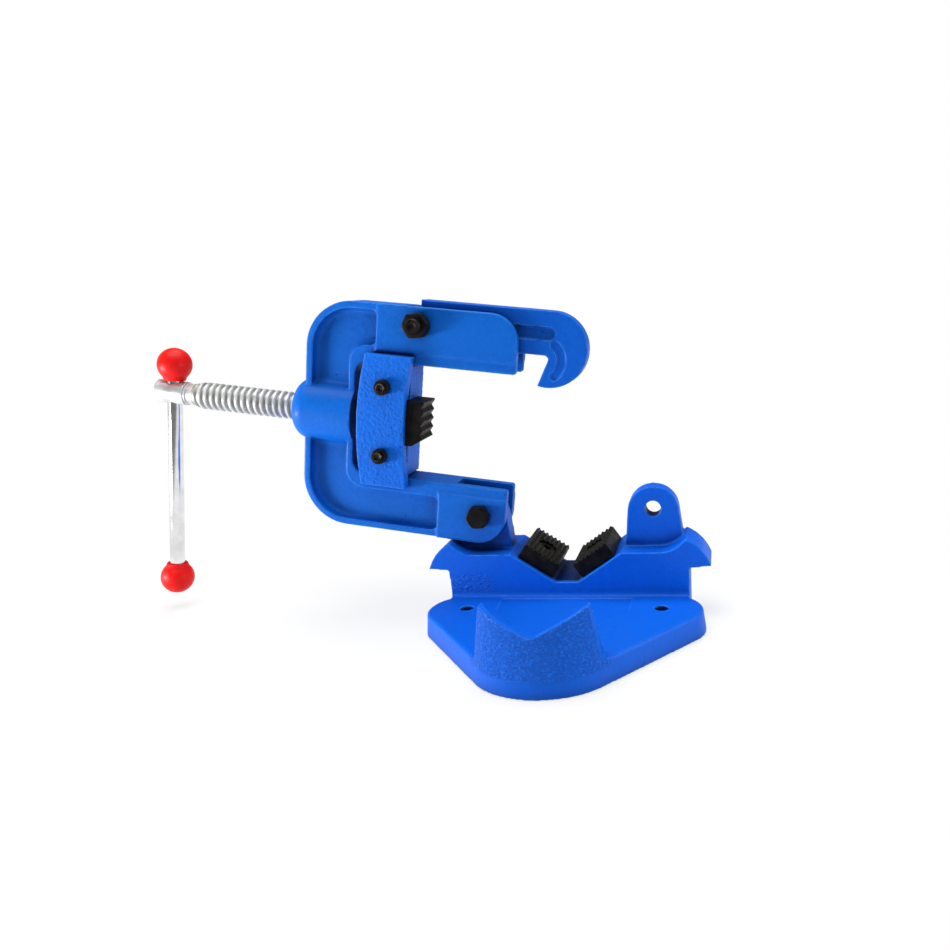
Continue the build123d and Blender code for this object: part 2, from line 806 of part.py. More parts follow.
def carrier_bolt(point):
    back = mid_y + slide_back + carrier_plate_thickness
    front = mid_y - slide_back - carrier_plate_thickness
    head = hexagon(point, carrier_head_across, back, back + carrier_head_height, False)
    stem = rod(point, carrier_bolt_diameter, front - carrier_nut_height - carrier_bolt_point, back)
    stem = chamfer(stem.faces().sort_by(Axis.Y)[0].edges(), carrier_bolt_chamfer)
    return head + stem


def carrier_nut(point):
    front = mid_y - slide_back - carrier_plate_thickness
    nut = hexagon(point, carrier_head_across, front - carrier_nut_height, front, True)
    return nut - rod(point, carrier_bolt_diameter + 2 * fastener_fit, front - carrier_nut_height, front)


def spindle():
    """The screw: a grooved end that turns in the carrier, the threaded length and a drilled head."""
    axis = (0, mid_y)
    shoulder = block_top + slide_clearance
    body = post(axis, journal_diameter, journal_bottom, shoulder)
    groove_low = groove_height - groove_width / 2
    groove_high = groove_height + groove_width / 2
    groove = post(axis, journal_diameter + 2, groove_low, groove_high)
    groove -= post(axis, groove_diameter, groove_low, groove_high)
    body -= groove
    body += post(axis, screw_diameter, shoulder, thread_end)
    body += post(axis, neck_diameter, thread_end, neck_end)
    head = post(axis, head_diameter, neck_end, head_end)
    body += chamfer(head.faces().sort_by(Axis.Z)[-1].edges(), head_chamfer)
    cross = Rot(0, 90, 0) * Cylinder(bar_bore / 2, 2 * head_diameter)
    return body - Pos(0, mid_y, bar_height) * cross


def handle_bar():
    start = lower_ball_x - bar_socket_depth + ball_neck_reach
    end = upper_ball_x + bar_socket_depth - ball_neck_reach
    bar = Cylinder(bar_diameter / 2, end - start, align=upright)
    return Pos(start, mid_y, bar_height) * Rot(0, 90, 0) * bar


def handle_ball(x, towards):
    """A knob with a conical neck that points along the bar, drilled for the bar's end."""
    neck = Cone(ball_neck_root / 2, ball_neck_diameter / 2, ball_neck_reach, align=upright)
    socket = Cylinder(bar_diameter / 2 + fastener_fit, ball_diameter, align=upright)
    knob = Sphere(ball_diameter / 2) + neck - Pos(0, 0, ball_neck_reach - bar_socket_depth) * socket
    return Pos(x, mid_y, bar_height) * Rot(0, 90 * towards, 0) * knob


def main():
    os.makedirs("parts", exist_ok=True)
    hinge_point = (-lug_half, pivot_height)
    hook_point = (hook_pivot_half, hook_pivot_height)
    save(base_casting(), "base_casting")
    save(lower_jaw(-1), "lower_jaw_left")
    save(lower_jaw(1), "lower_jaw_right")
    save(Compound(children=[lower_jaw_screw(-1), lower_jaw_screw(1)]), "lower_jaw_screws")
    save(swing_open(yoke_casting()), "yoke_casting")
    save(swing_open(pivot_bolt(hinge_point, True)), "hinge_bolt")
    save(swing_open(pivot_nut(hinge_point, False)), "hinge_nut")
    save(swing_open(pivot_washer(hinge_point, False)), "hinge_washer")
    save(swing_open(pivot_bolt(hook_point, False)), "hook_bolt")
    save(swing_open(pivot_nut(hook_point, True)), "hook_nut")
    save(swing_open(pivot_washer(hook_point, True)), "hook_washer")
    save(swing_open(hook()), "hook")
    save(swing_open(carrier_front_plate()), "carrier_front_plate")
    save(swing_open(carrier_back_casting()), "carrier_back_casting")
    save(swing_open(upper_jaw()), "upper_jaw")
    save(swing_open(upper_jaw_screw()), "upper_jaw_screw")
    bolts = [swing_open(carrier_bolt(point)) for point in carrier_bolt_points()]
    save(Compound(children=bolts), "carrier_bolts")
    nuts = [swing_open(carrier_nut(point)) for point in carrier_bolt_points()]
    save(Compound(children=nuts), "carrier_nuts")
    save(swing_open(retaining_pin(0)), "spindle_retaining_pin")
    save(swing_open(spindle()), "spindle")
    save(swing_open(handle_bar()), "handle_bar")
    save(swing_open(handle_ball(upper_ball_x, -1)), "handle_ball_upper")
    save(swing_open(handle_ball(lower_ball_x, 1)), "handle_ball_lower")


main()
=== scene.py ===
# %% [markdown]
# # Yoke pipe vise
# A cast, blue-painted pipe vise that lies swung open on a bench. The frame brings solids that
# already have the real sizes and joints. This lesson adds what a solid lacks: the skin of the
# castings, a cut thread, chamfered fasteners, moulded knobs, paint, light and a camera. Each cell
# makes one piece or one finish and prints what came out.

# %% Load the frame
import bpy
import bmesh
import json
from math import asin, atan2, ceil, cos, degrees, pi, radians, sin, sqrt, tan
from mathutils import Matrix, Vector


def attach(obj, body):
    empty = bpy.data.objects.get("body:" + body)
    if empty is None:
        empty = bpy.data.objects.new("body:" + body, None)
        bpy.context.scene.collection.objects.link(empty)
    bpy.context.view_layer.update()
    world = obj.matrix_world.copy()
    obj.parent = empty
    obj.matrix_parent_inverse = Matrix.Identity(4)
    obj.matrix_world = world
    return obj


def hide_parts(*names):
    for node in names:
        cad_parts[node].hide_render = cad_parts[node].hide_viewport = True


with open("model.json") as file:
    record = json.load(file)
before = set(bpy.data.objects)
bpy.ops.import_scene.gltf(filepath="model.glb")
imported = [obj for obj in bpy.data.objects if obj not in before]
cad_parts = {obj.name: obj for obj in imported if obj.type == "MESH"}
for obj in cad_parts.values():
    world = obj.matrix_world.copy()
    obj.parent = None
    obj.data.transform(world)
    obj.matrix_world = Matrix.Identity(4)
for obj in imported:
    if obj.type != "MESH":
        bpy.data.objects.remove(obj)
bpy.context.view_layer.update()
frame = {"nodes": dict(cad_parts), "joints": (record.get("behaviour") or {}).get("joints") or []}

# %% [markdown]
# ## Units, axes and pivots
# Blender and the frame measure in metres, but the sizes of a vise read more easily in
# millimetres, so one factor turns a length in millimetres into metres wherever it is used. The
# joints say where the yoke and the hook turn, and which way the screw and its bar point. Those
# places could be typed in again, but read from the frame they can never disagree with it.

# %% Millimetres, and the axes of the lying yoke
MM = 0.001
joints = {joint["name"]: joint for joint in frame["joints"]}
screw_axis = Vector(joints["screw_turn"]["axis"]).normalized()
bar_axis = Vector(joints["handle_slide"]["axis"]).normalized()
hinge_centre = Vector(joints["yoke_hinge"]["pos_m"])
hook_centre = Vector(joints["hook_pivot"]["pos_m"])
print("screw axis", [round(v, 3) for v in screw_axis], "bar axis", [round(v, 3) for v in bar_axis])

# %% [markdown]
# ## The upright yoke laid down
# The yoke is easier to measure upright, with its screw along Z. The turned pieces are made there,
# in millimetres, and one matrix then lays them on the horn. It is read from right to left: the
# hinge is moved to the origin, everything turns about Y, and the hinge is moved back, as the real
# yoke falls about its bolt.

# %% Lay a piece down
open_angle = atan2(screw_axis.x, -screw_axis.z)
lie_down = (
    Matrix.Translation(hinge_centre)
    @ Matrix.Rotation(-open_angle, 4, "Y")
    @ Matrix.Translation(-hinge_centre)
)
yoke_y = hinge_centre.y / MM
screw_place = lie_down @ Matrix.Translation((0, yoke_y * MM, 0))
print("the yoke lies", round(degrees(open_angle), 1), "degrees from upright")

# %% [markdown]
# ## Camera
# The camera stands where the photograph was taken: to the right of the vise, a little above it,
# and tipped slightly, so that the bench line falls to the right. A Track To constraint could aim
# it, but could not tip it. So its three axes are worked out from three angles and become the
# columns of its matrix. The small shift moves the picture's centre to where the lens pointed.

# %% Where the camera stands, and its three axes
camera_azimuth = radians(12.43)
camera_elevation = radians(10.55)
camera_roll = radians(-4.52)
camera_place = Vector((109.2, -527.3, 217.55)) * MM

back = Vector((
    sin(camera_azimuth) * cos(camera_elevation),
    -cos(camera_azimuth) * cos(camera_elevation),
    sin(camera_elevation),
))
level_right = back.cross(Vector((0, 0, -1))).normalized()
level_up = back.cross(level_right)
right = cos(camera_roll) * level_right + sin(camera_roll) * level_up
up = -sin(camera_roll) * level_right + cos(camera_roll) * level_up
print("camera", round(camera_place.length, 3), "metres from the frame's origin")

# %% Make the camera
photo_size = 950
lens_pixels = 858.1
lens_centre = (539.4, 457.0)
sensor_width = 36
nearest, farthest = 0.01, 20

camera_data = bpy.data.cameras.new("camera")
camera_data.sensor_width = sensor_width
camera_data.lens = lens_pixels / photo_size * sensor_width
camera_data.shift_x = (photo_size / 2 - lens_centre[0]) / photo_size
camera_data.shift_y = (lens_centre[1] - photo_size / 2) / photo_size
camera_data.clip_start = nearest
camera_data.clip_end = farthest
camera = bpy.data.objects.new("camera", camera_data)
turn = Matrix((right, up, back)).transposed()
camera.matrix_world = Matrix.Translation(camera_place) @ turn.to_4x4()
bpy.context.scene.collection.objects.link(camera)
bpy.context.scene.camera = camera
print("lens", round(camera_data.lens, 1), "mm")

# %% [markdown]
# ## Node helpers
# Every finish below is a small tree of nodes. Such a tree can be drawn by hand in the shader
# editor, but code repeats it for the next material without a slip. These helpers add a node, set
# its sockets and link it, so that each material reads as a list of what it does.

# %% Add, set and link nodes
def new_material(name):
    material = bpy.data.materials.new(name)
    material.use_nodes = True
    tree = material.node_tree
    return material, tree, tree.nodes["Principled BSDF"]


def set_sockets(made, **values):
    """Plain numbers or colours on a node's own sockets, such as Coat_Weight=0.1."""
    for key, value in values.items():
        made.inputs[key.replace("_", " ")].default_value = value


def node(tree, kind, **values):
    """A node with its properties and its input values set by name."""
    made = tree.nodes.new(kind)
    for key, value in values.items():
        if hasattr(made, key):
            setattr(made, key, value)
        else:
            set_sockets(made, **{key: value})
    return made


def link(tree, source, target):
    tree.links.new(source, target)


def object_position(tree):
    """Where a point of the surface lies, in metres."""
    return node(tree, "ShaderNodeTexCoord").outputs["Object"]


print("node helpers ready")

# %% Numbers and vectors from nodes
most_noise = (0.3, 0.7)


def noise(tree, coordinates, scale, detail, roughness=0.5):
    """Soft clouds from 0 to 1; the scale is how many cells of them go in a metre."""
    made = node(tree, "ShaderNodeTexNoise", Scale=scale, Detail=detail, Roughness=roughness)
    link(tree, coordinates, made.inputs["Vector"])
    return made.outputs["Fac"]


def ramp(tree, value, low, high, out_low=0.0, out_high=1.0):
    """Stretches the part of a value between low and high over the output range."""
    made = node(
        tree, "ShaderNodeMapRange", interpolation_type="SMOOTHSTEP",
        From_Min=low, From_Max=high, To_Min=out_low, To_Max=out_high,
    )
    link(tree, value, made.inputs["Value"])
    return made.outputs["Result"]


def maths(tree, operation, first, second=0.0):
    """Each side is a number or the output of another node."""
    made = node(tree, "ShaderNodeMath", operation=operation)
    for socket, value in ((made.inputs[0], first), (made.inputs[1], second)):
        if isinstance(value, float):
            socket.default_value = value
        else:
            link(tree, value, socket)
    return made.outputs[0]


def vector_maths(tree, operation, first, second=None):
    """The second side is the output of another node, a fixed vector, or nothing."""
    made = node(tree, "ShaderNodeVectorMath", operation=operation)
    link(tree, first, made.inputs[0])
    if isinstance(second, bpy.types.NodeSocket):
        link(tree, second, made.inputs[1])
    elif second is not None:
        made.inputs[1].default_value = second
    return made.outputs


def separate(tree, vector):
    """The X, Y and Z of a vector."""
    made = node(tree, "ShaderNodeSeparateXYZ")
    link(tree, vector, made.inputs[0])
    return made.outputs


print("nearly all of a noise lies between", most_noise[0], "and", most_noise[1])

# %% Colours, edges and bumps
flat_lean, edge_lean = 0.995, 0.93


def scaled(colour, share):
    return tuple(min(v * share, 1.0) for v in colour)


def mix_colour(tree, factor, first, second):
    """Each side is a plain colour or the output of another node."""
    made = node(tree, "ShaderNodeMix", data_type="RGBA")
    link(tree, factor, made.inputs["Factor"])
    for socket, colour in ((made.inputs["A"], first), (made.inputs["B"], second)):
        if isinstance(colour, tuple):
            socket.default_value = (*colour, 1)
        else:
            link(tree, colour, socket)
    return made.outputs["Result"]


def edge_mask(tree, radius):
    """1 along sharp edges, 0 on flat faces: how far a bevelled normal leans from the real one."""
    bevel = node(tree, "ShaderNodeBevel", samples=4, Radius=radius)
    real = node(tree, "ShaderNodeNewGeometry").outputs["Normal"]
    likeness = vector_maths(tree, "DOT_PRODUCT", bevel.outputs["Normal"], real)["Value"]
    return ramp(tree, likeness, flat_lean, edge_lean)


def bump(tree, height, strength, distance, normal=None):
    made = node(tree, "ShaderNodeBump", Strength=strength, Distance=distance)
    link(tree, height, made.inputs["Height"])
    if normal is not None:
        link(tree, normal, made.inputs["Normal"])
    return made.outputs["Normal"]


print("edges are found by a lean of the normal between", flat_lean, "and", edge_lean)

# %% [markdown]
# ## Where the skin changes
# Paint doesn't look the same all over these castings. Ripples of the casting run over the front
# of the pipe rest and over one foot of the saddle wall, and their crests get a painted highlight.
# The bottom of the vee is painted darker as painted shade, and so is the joint between the
# carrier's plate and its back. Such places could be painted by hand as vertex colours. Masks from
# the object's own coordinates are used instead, because they stay in place whatever the mesh is,
# and a single number moves them.

# %% Soft boxes
def between(tree, value, low, high, soft):
    """1 where a value lies between low and high, fading out over a soft edge."""
    rising = ramp(tree, value, low - soft, low)
    falling = ramp(tree, value, high + soft, high)
    return maths(tree, "MULTIPLY", rising, falling)


def box_mask(tree, position, box, soft):
    """1 inside a box of (low, high) pairs for x, y and z, with a soft edge, all in metres."""
    parts = separate(tree, position)
    x, y, z = (between(tree, parts[a], low, high, soft) for a, (low, high) in zip("XYZ", box))
    return maths(tree, "MULTIPLY", maths(tree, "MULTIPLY", x, y), z)


rest_front = (((-0.04, 0.04), (-0.2, -0.07), (0.012, 0.06)), 0.004)
wall_foot = (((-0.085, -0.056), (0.015, 0.03), (0.022, 0.028)), 0.008)
# painted shade: the bottom of the vee is coloured darker
vee_shade_box = (((-0.0075, 0.0075), (0.027, 0.08), (0.0245, 0.032)), 0.0015)
# painted shade: the joint between the carrier's plate and its back is coloured nearly black
carrier_joint_shade_box = (((-1.0, 1.0), (0.0312, 0.0321), (-1.0, 1.0)), 0.0004)
print("ripples on", rest_front[0], "and", wall_foot[0])

# %% Ripples
ripple_scale = 520
ripple_squeeze = (1.0, 1.0, 1.9)
front_lean = (-0.15, -0.4)
foot_share = 0.7


def ripple_height(tree, position):
    """Ripples on the front of the pipe rest and, weaker, at one foot of the saddle wall."""
    squeezed = vector_maths(tree, "MULTIPLY", position, ripple_squeeze)["Vector"]
    waves = maths(tree, "SUBTRACT", noise(tree, squeezed, ripple_scale, 3), 0.5)
    normal = node(tree, "ShaderNodeNewGeometry").outputs["Normal"]
    faces_front = ramp(tree, separate(tree, normal)["Y"], *front_lean)
    rest = maths(tree, "MULTIPLY", box_mask(tree, position, *rest_front), faces_front)
    foot = maths(tree, "MULTIPLY", box_mask(tree, position, *wall_foot), foot_share)
    return maths(tree, "MULTIPLY", waves, maths(tree, "MAXIMUM", rest, foot))


print("ripples from", ripple_scale, "cells of noise in a metre")

# %% [markdown]
# ## Blue enamel over rough iron
# The castings are dipped or brushed in a thick blue enamel. It pulls back from sharp edges, where
# a bare fleck shows here and there. The lighter blue along all edges is partly thinned paint and
# partly painted highlight, and the darker blue in the hollows is painted shade. The sand skin of
# the iron shows through it. One flat blue would look like plastic, so the colour is laid on in
# layers, each with its own mask, and the bump comes from noise at two scales.

# %% Colours of the enamel and of what shows through
# the edge colour below is partly thinned paint and partly painted highlight
thin_paint_and_highlight = (0.05, 0.28, 0.86)
# the ripple colour below is a painted highlight on the ripple crests
painted_ripple_highlight = (0.008, 0.17, 0.86)
bare_iron = (0.19, 0.21, 0.24)
# nearly black, for the painted shade in the carrier's joint
painted_joint_shade = (0.001, 0.008, 0.04)
# the hollow and vee shares darken the tint as painted shade
light_share, hollow_shade_share, vee_shade_share, hole_share = 1.08, 0.24, 0.12, 0.3
print("enamel colours: thin", thin_paint_and_highlight, "bare", bare_iron)

# %% Plain paint, and its wear at the edges
tint_cells, patch_cells, fleck_cells = 22, 160, 520
grain_range, patch_range, fleck_range = (0.25, 0.75), (0.3, 0.55), (0.66, 0.72)
hollow_shade_reach, hollow_shade_range = 0.016, (0.28, 0.9)
wear_and_highlight_radius = 0.0013


def paint_colour(tree, position, skin, tint, shade):
    """Slow changes of the tint, darker grains in the skin, and painted shade in the hollows."""
    slow = ramp(tree, noise(tree, position, tint_cells, 2), *most_noise)
    colour = mix_colour(tree, slow, tint, scaled(tint, light_share))
    colour = mix_colour(tree, ramp(tree, skin, *grain_range), scaled(tint, shade), colour)
    # painted shade: the colour darkens where other surfaces close round a point, as shade falls in
    # hollows
    hollow = node(tree, "ShaderNodeAmbientOcclusion", samples=4, Distance=hollow_shade_reach)
    open_air = ramp(tree, hollow.outputs["AO"], *hollow_shade_range)
    return mix_colour(tree, open_air, scaled(tint, hollow_shade_share), colour)


def edge_wear_and_highlight(tree, position):
    """Two masks: lighter edges, partly thinned paint and partly painted highlight, and the few
    flecks that are bare.
    """
    edge = edge_mask(tree, wear_and_highlight_radius)
    patches = ramp(tree, noise(tree, position, patch_cells, 5), *patch_range)
    flecks = ramp(tree, noise(tree, position, fleck_cells, 4), *fleck_range)
    return maths(tree, "MULTIPLY", edge, patches), maths(tree, "MULTIPLY", edge, flecks)


# edges within this radius are painted lighter, partly as thinned paint and partly as painted
# highlight
print("paint thins within", round(wear_and_highlight_radius / MM, 2), "mm of an edge")

# %% Small holes and relief
skin_cells, sand_cells, hole_cells = 420, 1500, 260
hole_edge, hole_growth, hole_core = 0.24, 0.05, 0.2
sand_share, sand_depth = 0.35, 0.0002
pit_strength, pit_depth = 0.5, 0.0008
# the first range picks the ripple crests for the painted highlight
ripple_highlight_range, ripple_depth = (0.02, 0.16), 0.0026


def hole_mask(tree, position, pits):
    """1 in the small holes that sand leaves; more pits make them wider."""
    cells = noise(tree, position, hole_cells, 2)
    return ramp(tree, cells, hole_edge + hole_growth * pits, hole_core)


def paint_relief(tree, position, skin, hole, grain, depth, pits):
    """A coarse and a fine skin, with the holes sunk into them."""
    relief = bump(tree, skin, grain, depth)
    sand = noise(tree, position, sand_cells, 3)
    relief = bump(tree, sand, grain * sand_share, sand_depth, relief)
    sunk = maths(tree, "SUBTRACT", 1.0, hole)
    return bump(tree, sunk, pit_strength * pits, pit_depth, relief)


print("bumps in mm: holes", round(pit_depth / MM, 2), "and ripples", round(ripple_depth / MM, 2))

# %% Enamel material
enamel_roughness = (0.42, 0.56)


def make_enamel(name, tint, grain, pits, depth=0.0006, shade=0.9, ripples=False, seam=False):
    """Grain and depth give the rough skin, pits the small holes, and shade the dark grains."""
    material, tree, shader = new_material(name)
    position = object_position(tree)
    skin = noise(tree, position, skin_cells, 4, 0.6)
    hole = hole_mask(tree, position, pits)
    thin_and_highlit, bare = edge_wear_and_highlight(tree, position)

    # every edge turns a lighter blue: partly thinned paint, partly painted highlight
    layers = [(thin_and_highlit, thin_paint_and_highlight)]
    if ripples:
        waves = ripple_height(tree, position)
        # painted shade at the bottom of the vee
        vee_shade = box_mask(tree, position, *vee_shade_box)
        layers += [(vee_shade, scaled(tint, vee_shade_share))]
        # a painted highlight on the crests of the ripples
        layers += [(ramp(tree, waves, *ripple_highlight_range), painted_ripple_highlight)]
    layers += [(bare, bare_iron)]
    # painted shade in the joint between the carrier's plate and its back
    if seam:
        layers += [(box_mask(tree, position, *carrier_joint_shade_box), painted_joint_shade)]
    layers += [(hole, scaled(tint, hole_share))]
    colour = paint_colour(tree, position, skin, tint, shade)
    for mask, layer in layers:
        colour = mix_colour(tree, mask, colour, layer)
    link(tree, colour, shader.inputs["Base Color"])
    link(tree, ramp(tree, skin, *most_noise, *enamel_roughness), shader.inputs["Roughness"])

    relief = paint_relief(tree, position, skin, hole, grain, depth, pits)
    if ripples:
        relief = bump(tree, waves, 1.0, ripple_depth, relief)
    link(tree, relief, shader.inputs["Normal"])
    set_sockets(shader, Coat_Weight=0.08, Coat_Roughness=0.18, Specular_IOR_Level=0.1)
    return material


base_enamel = make_enamel("blue_enamel_base", (0.001, 0.115, 0.7), 0.22, 0.4, ripples=True)
hook_enamel = make_enamel("blue_enamel_hook", (0.002, 0.11, 0.6), 0.22, 0.6)
yoke_enamel = make_enamel("blue_enamel_yoke", (0.003, 0.13, 0.6), 0.3, 1.0)
rough_enamel = make_enamel(
    "blue_enamel_rough", (0.002, 0.155, 0.8), 1.0, 1.6, depth=0.0011, shade=0.72, seam=True,
)
print("enamels:", base_enamel.name, hook_enamel.name, yoke_enamel.name, rough_enamel.name)

# %% [markdown]
# ## Blackened steel
# Jaws, bolts and nuts are hardened or quenched in oil, which leaves a brown-black skin. Edges and
# tooth tips are rubbed to a dull grey. Plain black would hide the shape, so the skin is a little
# cloudy, and the edge mask of the enamel serves again, with a smaller radius.

# %% Blackened steel material
oil_black, brown_black = (0.004, 0.0034, 0.003), (0.011, 0.0092, 0.0076)
warm_grey = (1.0, 0.86, 0.72)
oil_cells, rub_cells, quench_cells = 180, 400, 1800
rub_radius, rub_range = 0.0005, (0.4, 0.65)
black_roughness = (0.38, 0.58)
quench_bump, quench_depth = 0.25, 0.0002


def make_blackened(name, rubbed, metallic=0.2, light=0.07):
    """Rubbed is how far the edges are worn, to a warm grey of the given light."""
    material, tree, shader = new_material(name)
    position = object_position(tree)
    cloud = noise(tree, position, oil_cells, 4)
    patches = ramp(tree, noise(tree, position, rub_cells, 3), *rub_range)
    worn = maths(tree, "MULTIPLY", edge_mask(tree, rub_radius), patches)
    worn = maths(tree, "MULTIPLY", worn, rubbed)
    colour = mix_colour(tree, ramp(tree, cloud, *most_noise), oil_black, brown_black)
    colour = mix_colour(tree, worn, colour, scaled(warm_grey, light))
    link(tree, colour, shader.inputs["Base Color"])
    link(tree, ramp(tree, cloud, *most_noise, *black_roughness), shader.inputs["Roughness"])
    fine = noise(tree, position, quench_cells, 3)
    link(tree, bump(tree, fine, quench_bump, quench_depth), shader.inputs["Normal"])
    set_sockets(shader, Metallic=metallic, Specular_IOR_Level=0.14)
    return material


blackened = make_blackened("blackened_steel", 0.5)
jaw_black = make_blackened("blackened_jaw", 0.7)
rubbed_steel = make_blackened("blackened_rubbed", 1.0, metallic=0.7, light=0.4)
print("blacks:", blackened.name, jaw_black.name, rubbed_steel.name)

# %% [markdown]
# ## Bright zinc plate
# The screw and its bar are turned from steel and plated. Turning leaves fine rings across the
# axis, so the bump is a noise that changes only along the piece. The crests of the thread keep the
# bright colour, and the grooves are painted grey as painted shade. A second material could be
# given to the groove's faces, but a mask by the distance from the axis blends softly and works
# on any mesh.

# %% Crests of the thread
thread_high = 298.2
thread_end = screw_place @ Vector((0, 0, thread_high * MM))
groove_bottom, crest_top = 8.9 * MM, 9.7 * MM
end_blend = 0.001


def crest_mask(tree, position, axis):
    """1 on the thread's crests and on the head beyond its end, 0 down in the grooves."""
    arm = vector_maths(tree, "SUBTRACT", position, thread_end)["Vector"]
    across = vector_maths(tree, "CROSS_PRODUCT", arm, axis)["Vector"]
    distance = vector_maths(tree, "LENGTH", across)["Value"]
    along = vector_maths(tree, "DOT_PRODUCT", arm, axis)["Value"]
    crest = ramp(tree, distance, groove_bottom, crest_top)
    return maths(tree, "MAXIMUM", crest, ramp(tree, along, end_blend, 0.0))


print("the thread ends at", [round(v, 3) for v in thread_end])

# %% Bright steel material
painted_groove_shade = (0.36, 0.37, 0.345)
cool_white, plain_white, pale_share = (1.0, 1.0, 1.02), (1.0, 1.0, 1.0), 1.2
turning_cells, plate_cells = 2600, 90
dull_spread = 1.6
ring_bump, ring_depth = 0.12, 0.0001


def make_bright(name, axis, shade, dull, metallic=1.0, threaded_rod=False):
    """Plated steel with fine turning marks across an axis; dull is its lowest roughness."""
    material, tree, shader = new_material(name)
    position = object_position(tree)
    squeezed = node(tree, "ShaderNodeCombineXYZ")
    link(tree, vector_maths(tree, "DOT_PRODUCT", position, axis)["Value"], squeezed.inputs["X"])
    rings = noise(tree, squeezed.outputs["Vector"], turning_cells, 2)
    cloud = noise(tree, position, plate_cells, 3)
    cool, pale = scaled(cool_white, shade), scaled(plain_white, shade * pale_share)
    colour = mix_colour(tree, ramp(tree, cloud, *most_noise), cool, pale)
    if threaded_rod:
        # painted shade: the grooves of the thread are grey, while the crests and the head keep the
        # bright colour
        colour = mix_colour(tree, crest_mask(tree, position, axis), painted_groove_shade, colour)
    link(tree, colour, shader.inputs["Base Color"])
    roughness = ramp(tree, cloud, *most_noise, dull, dull * dull_spread)
    link(tree, roughness, shader.inputs["Roughness"])
    link(tree, bump(tree, rings, ring_bump, ring_depth), shader.inputs["Normal"])
    set_sockets(shader, Metallic=metallic)
    return material


bright_screw = make_bright("bright_steel_screw", screw_axis, 0.55, 0.34, 0.5, threaded_rod=True)
bright_bar = make_bright("bright_steel_bar", bar_axis, 0.7, 0.1)
print("bright:", bright_screw.name, bright_bar.name)

# %% [markdown]
# ## Red moulded knob
# The balls are a glossy red thermoset, with the faint ripple of a moulding and the fine scuffs of
# hands. A flat red would do from far away. Two slow reds and a shallow bump keep the highlight
# from looking like a perfect sphere's.

# %% Red knob material
deep_red, light_red = (0.7, 0.005, 0.005), (0.78, 0.008, 0.007)
moulding_cells, scuff_cells = 60, 900
scuff_range, red_roughness = (0.45, 0.75), (0.42, 0.54)
moulding_bump, moulding_depth = 0.1, 0.0006


def make_red():
    material, tree, shader = new_material("red_knob")
    position = object_position(tree)
    moulding = noise(tree, position, moulding_cells, 2)
    scuff = noise(tree, position, scuff_cells, 4)
    colour = mix_colour(tree, ramp(tree, moulding, *most_noise), deep_red, light_red)
    link(tree, colour, shader.inputs["Base Color"])
    link(tree, ramp(tree, scuff, *scuff_range, *red_roughness), shader.inputs["Roughness"])
    link(tree, bump(tree, moulding, moulding_bump, moulding_depth), shader.inputs["Normal"])
    set_sockets(shader, Specular_IOR_Level=0.15, Coat_Weight=0.03, Coat_Roughness=0.2)
    return material


red = make_red()
print("red:", red.name)

# %% [markdown]
# ## Skin of the castings
# A casting has no sharp edge anywhere, and sand leaves its grain on it. Sculpting could give
# that, but can't be repeated. Modifiers on the frame's own node can, and the node's sizes stay
# true. The solid's mesh is long flat triangles, so it is remeshed into small even squares first.
# Smoothing then rounds every edge, and displacements by cloud noise give the wavy, sandy surface.
# They mostly sink below the true surface, so the casting never grows past its solid.

# %% Paint, clouds and skin
sink_share = 0.85


def paint(name, material):
    """Gives a node of the frame one finish."""
    made = frame["nodes"][name]
    made.data.materials.clear()
    made.data.materials.append(material)
    return made


def cloud_texture(name, size):
    texture = bpy.data.textures.new(name, "CLOUDS")
    texture.noise_scale = size
    texture.noise_depth = 2
    return texture


broad_clouds = cloud_texture("broad_clouds", 0.012)
sand_clouds = cloud_texture("sand_clouds", 0.0024)
hammer_clouds = cloud_texture("hammer_clouds", 0.0019)


def cast_skin(made, cell, rounds, broad, sand, hammer=0.0):
    """Remesh, round and roughen one casting; the cell and the three heights are millimetres."""
    remesh = made.modifiers.new("remesh", "REMESH")
    remesh.mode = "VOXEL"
    remesh.voxel_size = cell * MM
    remesh.use_smooth_shade = True
    smooth = made.modifiers.new("smooth", "SMOOTH")
    smooth.factor = 0.5
    smooth.iterations = rounds
    for texture, height in ((broad_clouds, broad), (sand_clouds, sand), (hammer_clouds, hammer)):
        if height == 0:
            continue
        displace = made.modifiers.new(texture.name, "DISPLACE")
        displace.texture = texture
        displace.texture_coords = "LOCAL"
        displace.strength = height * MM
        displace.mid_level = sink_share


print("clouds:", broad_clouds.name, sand_clouds.name, hammer_clouds.name)

# %% Skin on each casting
for name, finish, cell, rounds, broad, sand, hammer in (
    ("base_casting", base_enamel, 0.75, 2, 0.15, 0.08, 0.0),
    ("yoke_casting", yoke_enamel, 0.7, 2, 0.2, 0.1, 0.0),
    ("hook", hook_enamel, 0.55, 3, 0.2, 0.08, 0.0),
    ("carrier_front_plate", rough_enamel, 0.5, 2, 0.15, 0.2, 0.45),
    ("carrier_back_casting", rough_enamel, 0.7, 2, 0.15, 0.12, 0.3),
):
    cast_skin(paint(name, finish), cell, rounds, broad, sand, hammer)
    print("skin on", name, "in cells of", cell, "mm")

# %% [markdown]
# ## Turned pieces
# Screws, nuts, knobs and bars come off a lathe. Blender's Screw modifier spins a profile too, but
# it can't change the profile on the way. So a lathe piece is a grid of points: columns run round
# the axis and rows follow the profile. The first and last column are in one place and are merged
# afterwards, and that small trick also lets a thread's rows climb one pitch per turn.

# %% Grid of points to a closed solid
merge_distance = 1e-7


